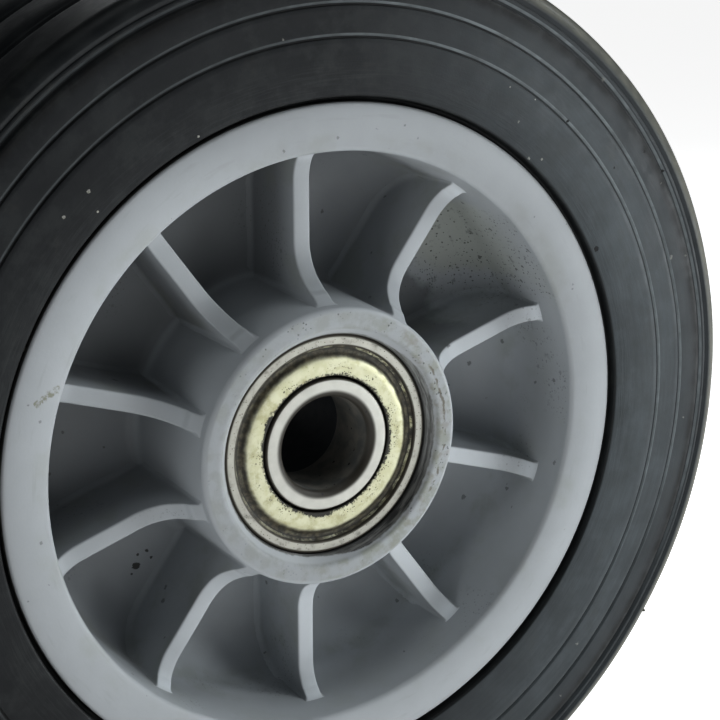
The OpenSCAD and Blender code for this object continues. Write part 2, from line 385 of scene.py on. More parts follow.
def rib(angle, side):
    """One rib: a drafted blade with a rounded back and flared roots, closed all round."""
    u_stops = np.concatenate([
        np.linspace(21.6, 24.2, 22), np.linspace(24.4, 42.4, 46), np.linspace(42.6, 45.9, 24),
    ])
    rise = np.concatenate([np.linspace(0, 0.22, 12), np.linspace(0.26, 1, 16)])
    bend = np.radians(np.linspace(12, 90, 6))
    verts = []
    for u in u_stops:
        top = rib_top(u)
        foot, shoulder = WEB_H - 0.8, top - RIB_EDGE
        side_h = foot + (shoulder - foot) * rise
        profile = [(rib_half_t(u, h, top), h) for h in side_h]
        t = profile[-1][0]
        profile += [(t - RIB_EDGE * (1 - math.cos(b)), shoulder + RIB_EDGE * math.sin(b)) for b in bend]
        crown_t = profile[-1][0]
        profile += [(crown_t * s, top + 0.03 * (1 - s * s)) for s in (0.5, 0.0)]
        loop = profile + [(-w, h) for w, h in reversed(profile[:-1])]
        verts += [(u, w, h) for w, h in loop]
    n, count = len(loop), len(u_stops)
    verts = np.array(verts)
    c, s = math.cos(angle), math.sin(angle)
    u, w, h = verts.T
    placed = np.stack([u * c - w * s, -side * h, u * s + w * c], -1)
    faces = []
    for k in range(count - 1):
        for q in range(n):
            q2 = (q + 1) % n
            faces.append((k * n + q, k * n + q2, (k + 1) * n + q2, (k + 1) * n + q))
    faces.append(tuple(reversed(range(n))))
    faces.append(tuple((count - 1) * n + q for q in range(n)))
    if side > 0:
        faces = [tuple(reversed(f)) for f in faces]
    return placed, faces


def make_moulding():
    """Turned hub, web and rim with twenty ribs, joined into one closed skin."""
    verts, faces = turned(moulding_outline(), STEPS)
    moulding = make("wheel_moulding", verts, faces, None)
    rib_verts, rib_faces = [], []
    for side in (1, -1):
        for k in range(RIBS):
            v, f = rib(RIB_FIRST + k * 2 * math.pi / RIBS, side)
            base = len(rib_verts)
            rib_verts += v.tolist()
            rib_faces += [[i + base for i in face] for face in f]
    ribs = make("ribs", rib_verts, rib_faces, None)
    join = moulding.modifiers.new("join_ribs", "BOOLEAN")
    join.operation = "UNION"
    join.solver = "MANIFOLD"
    join.object = ribs
    graph = bpy.context.evaluated_depsgraph_get()
    joined = bpy.data.meshes.new_from_object(moulding.evaluated_get(graph))
    moulding.modifiers.clear()
    moulding.data = joined
    bpy.data.objects.remove(ribs)
    joined.polygons.foreach_set("use_smooth", [True] * len(joined.polygons))
    joined.set_sharp_from_angle(angle=math.radians(38))
    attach(moulding, "wheel")
    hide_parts("wheel_hub")
    return moulding


# ---------------------------------------------------------------- bearings
BALLS = 8
MID_H = BEARING_H - BEARING_W / 2
FACE = BEARING_W / 2              # heights in a bearing are taken from its middle
PITCH_R = (BORE_R + BEARING_R) / 2
BALL_R = (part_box("front_ball_1")[1].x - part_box("front_ball_1")[0].x) / MM / 2
RACE_R = 1.04 * BALL_R
RACE_GAP = 0.03
LAND_R = 14.6
SHIELD_SEAT_R = 15.65
SHIELD_SEAT_H = 4.2
DISH_H = 4.68
SHIELD_SHEET = 0.35
RING_EDGE = 0.55
BORE_EDGE = 1.1
SEAT_EDGE = 0.2
LAND_EDGE = 0.25


def race_arc(centre_r, land_r, sign):
    """The raceway's section from its bottom out to the land, in heights from the bearing's middle."""
    reach = math.degrees(math.acos(abs(land_r - centre_r) / RACE_R))
    points = arc(0, 0, RACE_R, 0, reach, 8)
    return [(centre_r + sign * x, y) for x, y in points]


def outer_ring_half():
    half = race_arc(PITCH_R + BALL_R + RACE_GAP - RACE_R, LAND_R, 1)
    half += [(LAND_R, SHIELD_SEAT_H), (SHIELD_SEAT_R, SHIELD_SEAT_H), (SHIELD_SEAT_R, FACE - 0.25)]
    half += arc(SHIELD_SEAT_R + SEAT_EDGE, FACE - SEAT_EDGE, SEAT_EDGE, 180, 90, 4)
    half += line((SHIELD_SEAT_R + 0.45, FACE), (BEARING_R - RING_EDGE, FACE), 3)
    half += arc(BEARING_R - RING_EDGE, FACE - RING_EDGE, RING_EDGE, 90, 0, 7)
    return half + [(BEARING_R, 0.0)]


def inner_ring_half():
    half = [(BORE_R, 0.0), (BORE_R, FACE - BORE_EDGE - 0.3)]
    half += arc(BORE_R + BORE_EDGE, FACE - BORE_EDGE, BORE_EDGE, 180, 90, 8)
    half += line((BORE_R + BORE_EDGE + 0.2, FACE), (INNER_RING_R - 0.3, FACE), 3)
    half += arc(INNER_RING_R - LAND_EDGE, FACE - LAND_EDGE, LAND_EDGE, 90, 0, 5)
    race = race_arc(PITCH_R - BALL_R - RACE_GAP + RACE_R, INNER_RING_R, -1)
    return half + [(r, h) for r, h in reversed(race)]


def shield_section():
    """A pressed sheet: flat, turned in at the bore, and dished before the crimped edge."""
    face, dish = SHIELD_H - MID_H, DISH_H
    upper = [(10.86, face - 0.75), (10.86, face - 0.2)] + arc(11.06, face - 0.2, 0.2, 180, 90, 4)
    upper += line((11.4, face), (13.3, face + 0.01), 4)
    upper += [(13.5, face - 0.01), (13.75, face - 0.07), (14.0, face - 0.2), (14.25, face - 0.38)]
    upper += [(14.5, dish + 0.06), (14.75, dish), (15.1, dish + 0.02), (15.3, dish + 0.1)]
    upper += [(15.48, dish + 0.26), (15.64, dish + 0.3)]
    lower = [(r + 0.3, h) if r < 11 else (r, h - SHIELD_SHEET) for r, h in upper]
    lower[-1] = (15.64, dish - 0.1)
    return upper + lower[::-1]


def grime_waves(a, r, h):
    """The crimped edge is uneven: short waves that fade out on the flat."""
    edge = smooth_step(r, 14.9, 15.4)
    dh = 0.05 * edge * (np.sin(23 * a) + 0.8 * np.sin(57 * a + 1.0) + 0.5 * np.sin(131 * a))
    return np.zeros_like(r), dh * np.sign(h)


def bearing_piece(name, outline, side, body, node, wobble=None):
    placed = [(r, side * (MID_H + h)) for r, h in outline]
    verts, faces = turned(placed, FINE_STEPS, wobble)
    piece = make(name, verts, faces, body)
    piece.data.set_sharp_from_angle(angle=math.radians(50))
    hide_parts(node)
    return piece


def make_bearings():
    made = {"rings": [], "shields": []}
    for end, side in (("front", 1), ("rear", -1)):
        made["rings"].append(bearing_piece(
            f"{end}_bearing_outer_ring", mirrored(outer_ring_half()), side, "wheel",
            f"{end}_outer_ring"))
        made["rings"].append(bearing_piece(
            f"{end}_bearing_inner_ring", mirrored(inner_ring_half()), side, "axle_set",
            f"{end}_inner_ring"))
        made["shields"].append(bearing_piece(
            f"{end}_bearing_shield", shield_section(), side, "wheel",
            f"{end}_outer_shield", grime_waves))
    return made


# --------------------------------------------------------------- materials
class Paint:
    """One material: its sockets are built up in the part's own frame, in millimetres."""

    def __init__(self, name, specular=0.5):
        self.material = bpy.data.materials.new(name)
        self.material.use_nodes = True
        tree = self.material.node_tree
        self.nodes, self.links = tree.nodes, tree.links
        self.shader = self.nodes["Principled BSDF"]
        self.shader.inputs["Specular IOR Level"].default_value = specular
        coord = self.nodes.new("ShaderNodeTexCoord")
        self.at = self.vector("SCALE", coord.outputs["Object"], scale=1 / MM)
        split = self.node("ShaderNodeSeparateXYZ", self.at)
        self.x, self.y, self.z = split.outputs
        self.r = self.math(
            "SQRT", self.math("ADD", self.math("POWER", self.x, 2), self.math("POWER", self.z, 2)))
        self.h = self.math("ABSOLUTE", self.y)
        normal = self.node("ShaderNodeSeparateXYZ", coord.outputs["Normal"])
        self.facing = self.math("ABSOLUTE", normal.outputs[1])

    def node(self, kind, *inputs, **settings):
        made = self.nodes.new(kind)
        for key, value in settings.items():
            setattr(made, key, value)
        for socket, value in zip(made.inputs, inputs):
            self.feed(socket, value)
        return made

    def feed(self, socket, value):
        if isinstance(value, bpy.types.NodeSocket):
            self.links.new(value, socket)
        elif value is not None:
            if socket.type == "RGBA":
                value = (*value[:3], 1)
            socket.default_value = value

    def math(self, operation, a, b=0.0):
        return self.node("ShaderNodeMath", a, b, operation=operation).outputs[0]

    def vector(self, operation, a, b=None, scale=None):
        made = self.node("ShaderNodeVectorMath", a, b, operation=operation)
        if scale is not None:
            self.feed(made.inputs["Scale"], scale)
        return made.outputs[0]

    def remap(self, value, low, high, to_low=0.0, to_high=1.0):
        return self.node(
            "ShaderNodeMapRange", value, low, high, to_low, to_high, interpolation_type="SMOOTHSTEP",
        ).outputs[0]

    def band(self, value, start, full, end, gone):
        """1 between full and end, fading to 0 at start and gone."""
        return self.math("MULTIPLY", self.remap(value, start, full), self.remap(value, end, gone, 1, 0))

    def times(self, *values):
        result = values[0]
        for value in values[1:]:
            result = self.math("MULTIPLY", result, value)
        return result

    def most(self, *values):
        result = values[0]
        for value in values[1:]:
            result = self.math("MAXIMUM", result, value)
        return result

    def noise(self, size, detail=3.0, seed=0.0, rough=0.5, at=None):
        """Cloudy noise, 0 to 1, with features about size millimetres across."""
        spot = self.vector("ADD", at or self.at, (seed * 31.7, seed * 17.3, seed * 11.9))
        made = self.node("ShaderNodeTexNoise", spot)
        made.inputs["Scale"].default_value = 1 / size
        made.inputs["Detail"].default_value = detail
        made.inputs["Roughness"].default_value = rough
        return made.outputs[0]

    def specks(self, size, share, seed=0.0, at=None):
        """Irregular dots: cells size millimetres wide, of which a share holds a dot."""
        spot = self.vector("ADD", at or self.at, (seed * 23.1, seed * 7.7, seed * 41.3))
        wobble = self.node("ShaderNodeTexNoise", spot)
        wobble.inputs["Scale"].default_value = 2.5 / size
        bent = self.vector("ADD", spot, self.vector("SCALE", wobble.outputs[1], scale=0.5 * size))
        cells = self.node("ShaderNodeTexVoronoi", bent)
        cells.inputs["Scale"].default_value = 1 / size
        luck = self.node("ShaderNodeSeparateColor", cells.outputs["Color"])
        chosen = self.math("LESS_THAN", luck.outputs[0], share)
        radius = self.node("ShaderNodeMath", luck.outputs[1], 0.28, 0.10, operation="MULTIPLY_ADD")
        near = self.math("SUBTRACT", radius.outputs[0], cells.outputs["Distance"])
        return self.times(self.remap(near, -0.04, 0.06), chosen)

    def spot(self, x, z, radius, ragged=0.3, seed=0.0):
        """A mark on the front at (x, z), its edge made uneven by a share of its radius."""
        across = self.vector("MULTIPLY", self.at, (1, 0, 1))
        away = self.node("ShaderNodeVectorMath", across, (x, 0, z), operation="DISTANCE")
        uneven = self.math("MULTIPLY", self.noise(radius * 0.8, 3, seed), 2 * ragged * radius)
        edge = self.math("ADD", away.outputs["Value"], uneven)
        mark = self.remap(edge, radius * (1.15 + ragged), radius * (0.75 + ragged))
        return self.times(mark, self.math("LESS_THAN", self.y, 0))

    def around(self, turns, per_mm):
        """Coordinates stretched along the circumference, for streaks that follow the wheel round."""
        c, s = self.math("DIVIDE", self.x, self.r), self.math("DIVIDE", self.z, self.r)
        across = self.math("MULTIPLY", self.math("ADD", self.r, self.h), per_mm)
        return self.node(
            "ShaderNodeCombineXYZ", self.math("MULTIPLY", c, turns), across, self.math("MULTIPLY", s, turns),
        ).outputs[0]

    def blend(self, a, b, share):
        made = self.nodes.new("ShaderNodeMix")
        made.data_type = "RGBA"
        self.feed(made.inputs["Factor"], share)
        self.feed(made.inputs[6], a)
        self.feed(made.inputs[7], b)
        return made.outputs[2]

    def shade(self, color, factor):
        return self.vector("SCALE", color, scale=factor)

    def bump(self, *layers):
        """Layers of (height socket, depth in millimetres)."""
        normal = None
        for height, depth in layers:
            made = self.nodes.new("ShaderNodeBump")
            made.inputs["Distance"].default_value = depth * MM
            self.feed(made.inputs["Height"], height)
            if normal:
                self.links.new(normal, made.inputs["Normal"])
            normal = made.outputs[0]
        self.links.new(normal, self.shader.inputs["Normal"])

    def done(self, color, rough, metal=0.0):
        self.feed(self.shader.inputs["Base Color"], color)
        self.feed(self.shader.inputs["Roughness"], rough)
        self.feed(self.shader.inputs["Metallic"], metal)
        return self.material


def scattered(places, seed):
    """Marks as (x, z, radius), strewn round places of (x, z, how many, spread, radius)."""
    dice = random.Random(seed)
    return [
        (dice.gauss(x, spread), dice.gauss(z, spread), size * dice.uniform(0.7, 1.3))
        for x, z, count, spread, size in places for _ in range(count)
    ]


PLASTIC = (0.375, 0.395, 0.412)
RUBBED_PLASTIC = (0.27, 0.283, 0.285)
GRIME_AND_SHADE = (0.030, 0.029, 0.024)
TAR_AND_SHADE = (0.012, 0.012, 0.011)
STAIN = (0.155, 0.155, 0.085)
OCHRE = (0.19, 0.165, 0.11)
OLIVE = (0.25, 0.265, 0.205)
DUST = (0.43, 0.45, 0.41)
CLOT_CRUMBS = ((-23, -22, 4, 1.2, 0.25),)


def plastic_material():
    p = Paint("wheel_plastic", 0.45)
    broad, mid, fine = p.noise(16, 2, 1), p.noise(3.2, 4, 2), p.noise(0.5, 3, 3)
    tone = p.math("ADD", p.remap(broad, 0.3, 0.7, 0.97, 1.02), p.remap(mid, 0.3, 0.7, -0.015, 0.015))
    color = p.shade(PLASTIC, tone)

    # painted light and shade: the ribs' backs are painted paler as a highlight, more on the lower right and
    # near the rim; the deep pockets are painted darker, paler on the right, and one has a painted shadow in a
    # corner
    pocket = p.band(p.r, 22.8, 23.6, 44.4, 45.2)
    slant = p.math("SUBTRACT", p.x, p.z)
    back = p.times(
        p.band(p.r, 22.8, 23.4, 45.4, 45.6), p.remap(p.facing, 0.28, 0.70),
        p.band(p.h, 14.9, 15.3, 22.8, 23.4))
    rib_back_highlight = p.math("ADD", p.remap(slant, -55, 35, 0.02, 0.42), p.remap(p.r, 42.0, 44.6, 0.0, 0.35))
    color = p.shade(color, p.math("ADD", 1, p.times(back, rib_back_highlight)))
    # painted shade in the deep pockets: darker on the upper left, paler on the lower right
    deep_pocket_shade = p.times(pocket, p.remap(p.h, 16.0, 9.0))
    color = p.shade(color, p.math("ADD", 1, p.times(deep_pocket_shade, p.remap(slant, -50, 30, -0.42, 0.28))))
    # a painted shadow in one pocket's corner by the hub
    corner = p.times(deep_pocket_shade, p.spot(25.5, 13.5, 6.5, 0.6, 71))
    color = p.shade(color, p.math("SUBTRACT", 1, p.times(corner, 0.45)))

    # a film of dust on the walls and on the lip's inner half
    cloud = p.remap(p.noise(8, 4, 4, 0.6), 0.46, 0.68)
    walls = p.times(pocket, p.remap(p.facing, 0.7, 0.3), 0.7)
    film = p.times(cloud, p.most(walls, p.times(p.band(p.r, 44.5, 45.5, 47, 49), 0.5)))
    dusty = p.times(p.spot(37, 27, 9.0, 0.5, 22), pocket)
    color = p.blend(p.blend(color, OLIVE, p.times(film, 0.40)), DUST, p.times(dusty, 0.75))

    # grease that has crept out of the bearing seat, thickest below and on the right, with painted shade in
    # the gap round the bearing
    lean = p.math("SUBTRACT", p.times(p.x, 0.94), p.times(p.z, 0.34))
    low_right = p.remap(lean, 2, 15)
    streak = p.noise(1.0, 3, 5, 0.6, p.around(5, 1.6))
    ragged = p.remap(p.noise(1.2, 4, 15, 0.6), 0.2, 0.8, -0.08, 0.08)
    reach = p.math("ADD", p.remap(low_right, 0, 1, 17.80, 18.50), ragged)
    seat = p.times(p.remap(p.math("SUBTRACT", reach, p.r), -0.10, 0.14), p.remap(p.h, 20, 22))
    face = p.times(p.band(p.r, 18.4, 18.8, 21.0, 21.7), p.remap(p.h, 22.5, 23.1))
    haze = p.times(face, p.remap(p.noise(2.6, 4, 16, 0.6), 0.40, 0.62), p.remap(lean, -12, 14, 0.38, 0.80))
    wavy_r = p.math("ADD", p.r, p.remap(p.noise(1.8, 3, 17), 0.2, 0.8, -0.25, 0.25))
    lines = p.times(
        p.band(wavy_r, 19.75, 20.0, 20.1, 20.35), p.remap(p.noise(1.6, 3, 6), 0.42, 0.56),
        p.remap(p.x, 15.5, 18), face)
    dots = p.times(
        face, p.most(p.specks(0.42, 0.30, 1), p.times(p.specks(0.95, 0.14, 13), 0.9)),
        p.remap(p.noise(3.5, 3, 7), 0.45, 0.60), p.remap(p.math("ADD", p.x, p.z), -8, 8, 0.25, 1.0))
    color = p.blend(color, OLIVE, p.times(haze, 0.70))
    # painted shade: the hub face is darker by 14% on the left to 6% on the right
    color = p.shade(color, p.math("SUBTRACT", 1, p.times(face, p.remap(p.x, -15, 15, 0.14, 0.06))))
    ochre = p.times(face, p.remap(p.noise(2.2, 5, 26, 0.6), 0.50, 0.66), p.remap(p.x, 8, 15), 0.35)
    color = p.blend(color, OCHRE, ochre)
    color = p.blend(color, (0.10, 0.082, 0.048), p.times(lines, 0.75))
    # the seat is painted darker towards the bottom, as shade
    dust_and_shade_grey = p.blend((0.115, 0.115, 0.108), (0.235, 0.245, 0.240), p.remap(p.z, -9, 3))
    tar_and_shade_dark = p.blend(TAR_AND_SHADE, (0.080, 0.081, 0.076), p.remap(p.z, -9, 3))
    seat_grease_and_shade = p.blend(tar_and_shade_dark, dust_and_shade_grey, p.times(p.remap(streak, 0.36, 0.60), p.remap(p.r, 17.52, 17.78)))
    color = p.blend(color, seat_grease_and_shade, p.times(seat, 0.95))
    color = p.blend(color, GRIME_AND_SHADE, p.times(dots, 0.62))

    # specks scattered over the walls, thickest in one pocket on the front
    patch = p.most(p.spot(37, 24, 9.5, 0.4, 21), p.times(p.remap(p.noise(17, 1, 8), 0.58, 0.70), 0.5))
    inside = p.times(p.remap(p.r, 22.5, 24), p.remap(p.r, 46.5, 45), p.remap(p.h, 24.4, 22))
    smudge = p.times(p.remap(p.noise(1.8, 4, 18, 0.6), 0.60, 0.70), 0.5)
    small = p.most(p.specks(0.48, 0.50, 2), p.times(p.specks(1.1, 0.12, 12), 0.85), smudge)
    scatter = p.times(inside, p.most(p.times(small, patch), p.times(p.specks(1.3, 0.018, 3), 0.7)))
    color = p.blend(color, GRIME_AND_SHADE, p.times(scatter, 0.72))

    # the lip is painted darker towards its top, as shade; rubbed and stained places on the lip
    lip = p.remap(p.r, 45, 46)
    above = p.math("ADD", p.times(p.x, 0.5), p.z)
    color = p.shade(color, p.math("SUBTRACT", 1, p.times(lip, p.remap(above, 20, 48, 0.0, 0.13))))
    tone_shift = p.times(lip, p.remap(p.noise(1.0, 3, 9, 0.5, p.around(7, 0.9)), 0.60, 0.74))
    color = p.blend(color, RUBBED_PLASTIC, p.times(tone_shift, 0.25))
    smear = p.most(*(p.spot(-46.5 + step, 15 + 0.5 * step, 0.6, 0.7, 31) for step in range(4)))
    smear = p.times(smear, p.remap(p.noise(0.6, 4, 33, 0.65), 0.36, 0.60))
    color = p.blend(color, STAIN, p.times(smear, 0.70))
    color = p.blend(color, GRIME_AND_SHADE, p.times(lip, p.specks(0.8, 0.010, 4), 0.4))

    # a clot of dirt on the floor of one pocket, and painted shade down the side of the rim, in the slit under
    # the tyre
    clot = p.most(p.spot(-23.5, -22.5, 0.7, 0.9, 51), *(
        p.spot(*mark, 0.9, seed) for seed, mark in enumerate(scattered(CLOT_CRUMBS, 1), 52)))
    color = p.blend(color, GRIME_AND_SHADE, p.times(clot, p.remap(p.h, 14, 11), 0.90))
    color = p.blend(color, GRIME_AND_SHADE, p.times(p.remap(p.r, RIM_R - 0.12, RIM_R - 0.02), 0.92))

    rough = p.math("ADD", p.remap(mid, 0.3, 0.7, 0.44, 0.54), p.times(film, 0.1))
    scratches = p.noise(1.0, 2, 10, 0.5, p.around(26, 3.4))
    p.bump((fine, 0.010), (p.noise(4, 2, 11), 0.020), (scratches, 0.004), (p.times(seat, streak), 0.05))
    return p.done(color, p.math("SUBTRACT", rough, p.times(seat, 0.1)))


RUBBER, RUBBER_WORN = (0.0062, 0.0080, 0.0100), (0.0105, 0.0125, 0.0145)
PAINTED_SHEEN_GREY = (0.082, 0.097, 0.106)
GROOVE_EDGE_HIGHLIGHT = (0.215, 0.240, 0.250)
GREY_RUBBER = (0.036, 0.042, 0.042)
ROAD_DUST_AND_LIGHT = (0.135, 0.133, 0.108)
PALE_SPECKS = (
    (-41, 42, 3, 1.8, 0.24), (-21, 50, 1, 0.5, 0.24), (35, 41, 3, 0.7, 0.19), (33, 50, 2, 1.8, 0.15))
NICKS = ((48, 25, 1, 0.3, 0.5), (53, 40, 2, 2.0, 0.26), (61, 35, 1, 0.5, 0.28), (41, 47, 1, 0.5, 0.24))


def rubber_material():
    p = Paint("tyre_rubber", 0.28)
    broad, mid, fine = p.noise(13, 3, 1), p.noise(2.4, 4, 2), p.noise(0.35, 3, 3)
    streaks = p.noise(1.0, 3, 4, 0.6, p.around(9, 1.6))
    thin = p.noise(1.0, 2, 5, 0.5, p.around(30, 5.5))
    color = p.blend(RUBBER, RUBBER_WORN, p.remap(broad, 0.3, 0.7))

    # a painted grey sheen, heavier on the right, that thins towards the shoulder
    patchy = p.remap(p.noise(6, 4, 12, 0.6), 0.36, 0.64, 0.78, 1.0)
    painted_sheen = p.times(
        p.remap(p.x, -2, 52), p.remap(streaks, 0.3, 0.7, 0.8, 1.0), patchy,
        p.remap(p.r, 64.0, 70.0, 1.0, 0.48))
    color = p.blend(color, PAINTED_SHEEN_GREY, p.times(painted_sheen, 0.86))

    # painted shade at the bead and inside the shoulder groove
    by_groove = p.times(p.band(p.r, 68.8, 70.2, 70.7, 70.95), p.remap(mid, 0.3, 0.6, 0.55, 1.0))
    bead_and_groove_shade = p.most(by_groove, p.remap(p.r, RIM_R + 1.12, RIM_R + 0.86))
    color = p.shade(color, p.math("SUBTRACT", 1, p.times(bead_and_groove_shade, 0.80)))

    # painted highlight on each groove's outer edge, lower down and stronger on the right, and painted shade
    # inside the sidewall grooves
    edges = [r for r, _, _ in SIDEWALL_GROOVES]
    tone_shift = p.most(*(p.band(p.r, r + 0.02, r + 0.12, r + 0.40, r + 0.54) for r in edges + [71.2]))
    tone_shift = p.times(tone_shift, p.remap(p.z, -42, -8), p.remap(mid, 0.3, 0.7, 0.6, 1.0))
    color = p.blend(color, GROOVE_EDGE_HIGHLIGHT, p.times(tone_shift, p.remap(p.x, -30, 45, 0.20, 0.95)))
    groove_shade = p.most(*(p.band(p.r, r - 0.34, r - 0.22, r - 0.06, r + 0.03) for r in edges))
    color = p.shade(color, p.math("SUBTRACT", 1, p.times(groove_shade, 0.6)))

    # dust on the shoulder and tread, laid on strongest on the right as painted light, and brownish patches
    # all over
    tread = p.times(
        p.remap(p.r, 72.8, 73.8), p.remap(mid, 0.3, 0.7, 0.7, 1.0), p.remap(p.x, -30, 45, 0.02, 0.9),
        p.remap(p.h, 18, 24, 0.30, 1.0))
    streaky = p.noise(1.0, 4, 14, 0.6, p.around(6, 0.5))
    shoulder = p.math("ADD", p.remap(p.h, 22.5, 24.0, 0.42, 1.0), p.remap(streaky, 0.4, 0.7, -0.15, 0.10))
    color = p.blend(color, ROAD_DUST_AND_LIGHT, p.times(tread, shoulder))
    color = p.blend(color, (0.055, 0.055, 0.045), p.times(p.remap(p.noise(7, 5, 6, 0.65), 0.58, 0.72), 0.16))

    # soft mottling everywhere, and fine lines left by the mould round the bead
    mottle = p.times(
        p.remap(p.noise(3.6, 4, 16, 0.62), 0.42, 0.66), p.remap(p.noise(15, 2, 17), 0.35, 0.6, 0.3, 1.0))
    drawn = p.remap(p.noise(1.0, 3, 18, 0.6, p.around(10, 3.2)), 0.48, 0.64)
    drawn = p.times(drawn, p.remap(p.r, 60.0, 56.5))
    color = p.blend(color, GREY_RUBBER, p.math("ADD", p.times(mottle, 0.28), p.times(drawn, 0.20)))

    # pale specks, and nicks on the front that show darker
    pale = p.times(p.specks(1.5, 0.010, 1), 0.5)
    for seed, mark in enumerate(scattered(PALE_SPECKS, 2), 40):
        uneven = p.remap(p.noise(0.3, 2, seed), 0.35, 0.6, 0.55, 1.0)
        pale = p.most(pale, p.times(p.spot(*mark, 0.5, seed), uneven))
    nick = p.most(*(p.spot(*mark, 0.6, seed) for seed, mark in enumerate(scattered(NICKS, 3), 60)))
    color = p.blend(color, (0.33, 0.33, 0.30), pale)
    color = p.blend(color, (0.004, 0.004, 0.005), p.times(nick, 0.9))

    rough = p.math("ADD", p.remap(mid, 0.3, 0.7, 0.42, 0.54), p.remap(streaks, 0.4, 0.7, -0.03, 0.05))
    flow = p.times(p.noise(1.0, 3, 8, 0.6, p.around(14, 2.6)), p.remap(p.r, 58.0, 54.5))
    p.bump((fine, 0.012), (mid, 0.020), (thin, 0.007), (flow, 0.035), (nick, -0.08))
    return p.done(color, p.math("ADD", rough, p.times(pale, 0.4)))


def ring_material():
    p = Paint("bearing_steel")
    mid, fine = p.noise(2.0, 4, 1), p.noise(0.4, 3, 2)
    inner = p.remap(p.r, 12.5, 12.0)
    ground = p.noise(1.0, 2, 3, 0.5, p.around(5, 14))
    steel = p.blend((0.378, 0.375, 0.340), (0.445, 0.445, 0.415), inner)
    color = p.shade(steel, p.remap(mid, 0.25, 0.75, 0.93, 1.05))

    # the bore is painted dull and dark, as shade in the bore with some grease, and darker and browner where
    # it meets the face; a few specks of dirt
    bore = p.times(p.remap(p.r, 8.9, 8.2), inner)
    dull = p.blend((0.120, 0.125, 0.120), (0.200, 0.192, 0.170), p.remap(p.noise(2.6, 4, 8, 0.6), 0.35, 0.65))
    dull = p.blend(dull, (0.030, 0.026, 0.018), p.remap(p.h, 21.4, 22.6))
    color = p.blend(color, p.blend(dull, (0.01, 0.01, 0.01), p.specks(0.7, 0.12, 9)), bore)

    # painted shade mixed with dirt in the chamfers and round the crimped shield, and a stained, speckled
    # outer face
    edge = p.most(p.remap(p.r, 16.85, 17.15), p.times(p.remap(p.r, 16.0, 15.75), p.remap(p.r, 14, 14.2)))
    outer = p.remap(p.r, 15, 15.6)
    soil = p.times(
        p.remap(p.noise(1.4, 5, 4, 0.62), 0.50, 0.68), p.remap(p.noise(6, 2, 7), 0.35, 0.65, 0.1, 0.45))
    darkening = p.most(p.times(edge, 0.92), p.times(outer, p.most(soil, p.times(p.specks(0.35, 0.30, 5), 0.7))))
    # painted shade: a dark ring at the inner ring's outer edge
    rim = p.times(p.remap(p.r, 10.15, 10.38), inner, 0.9)
    darkening = p.most(darkening, p.times(p.specks(0.8, 0.02, 6), 0.35), rim)
    # darker on the faces deep inside the bearing
    hidden = p.times(p.remap(p.h, 22.0, 21.4), p.math("SUBTRACT", 1, bore))
    darkening = p.most(darkening, p.times(hidden, 0.9))
    color = p.blend(color, (0.05, 0.042, 0.03), darkening)
    rough = p.math("ADD", p.remap(ground, 0.3, 0.7, 0.36, 0.44), p.times(darkening, 0.25))
    p.bump((ground, 0.002), (fine, 0.003), (darkening, 0.02))
    metal = p.times(p.math("SUBTRACT", 1, p.times(darkening, 0.85)), p.math("SUBTRACT", 1, bore))
    return p.done(color, p.most(rough, p.times(bore, 0.5)), metal)


def shield_material():
    p = Paint("shield_plating")
    mid = p.noise(1.6, 4, 1)
    gold = p.blend((0.465, 0.462, 0.330), (0.530, 0.530, 0.405), p.remap(mid, 0.35, 0.65))
    gold = p.blend(gold, (0.30, 0.285, 0.165), p.times(p.remap(p.noise(2.2, 5, 2, 0.6), 0.50, 0.70), 0.6))

    # grease fills the dished band; grime spreads in a fine ragged fringe from the shield's bore
    soft = p.remap(p.noise(1.6, 4, 3, 0.55), 0.2, 0.8, -0.16, 0.16)
    grease = p.remap(p.math("ADD", p.r, soft), 13.45, 14.25)
    fringe = p.remap(p.noise(0.42, 5, 13, 0.7), 0.25, 0.75, -0.36, 0.36)
    thick = p.remap(p.noise(4.5, 2, 14), 0.46, 0.70, -0.10, 0.50)
    inner = p.remap(p.math("SUBTRACT", p.math("ADD", p.r, fringe), thick), 11.42, 11.02)
    cluster = p.remap(p.noise(2.4, 3, 5), 0.44, 0.62)
    dots = p.most(p.specks(0.28, 0.6, 4), p.times(p.specks(0.55, 0.28, 24), 0.9))
    dots = p.times(dots, cluster, p.remap(p.r, 13.2, 12.0, 0.15, 1))
    worn = p.remap(p.noise(1.0, 4, 6, 0.55, p.around(5, 0.3)), 0.46, 0.58)
    worn = p.times(worn, p.remap(p.noise(0.5, 3, 16), 0.3, 0.5))
    crimp = p.times(p.band(p.r, 15.16, 15.28, 15.50, 15.60), worn, p.remap(p.x, -6, 8, 0.35, 1.0))
    glint = p.remap(p.noise(1.0, 3, 26, 0.5, p.around(7, 0.6)), 0.5, 0.7)
    rim = p.times(p.band(p.r, 14.35, 14.5, 14.75, 14.95), glint, 0.22)
    greasy = p.math("SUBTRACT", grease, p.most(p.times(crimp, 0.9), rim))
    darkening = p.most(p.times(greasy, 0.97), p.times(inner, 0.97), p.times(dots, 0.9))
    brown = p.remap(p.noise(1.1, 5, 7, 0.6), 0.40, 0.72)
    brown = p.blend((0.020, 0.017, 0.011), (0.105, 0.090, 0.056), brown)
    brown = p.blend(brown, (0.010, 0.009, 0.006), p.most(p.band(p.r, 15.0, 15.1, 15.16, 15.26), inner))
    color = p.blend(gold, brown, darkening)
    rough = p.math("ADD", p.remap(mid, 0.3, 0.7, 0.38, 0.46), p.times(darkening, 0.10))
    p.bump((p.noise(0.5, 4, 8), 0.005), (darkening, 0.02), (p.times(grease, p.noise(0.7, 3, 9)), 0.05))
    return p.done(color, rough, p.math("SUBTRACT", 1, darkening))


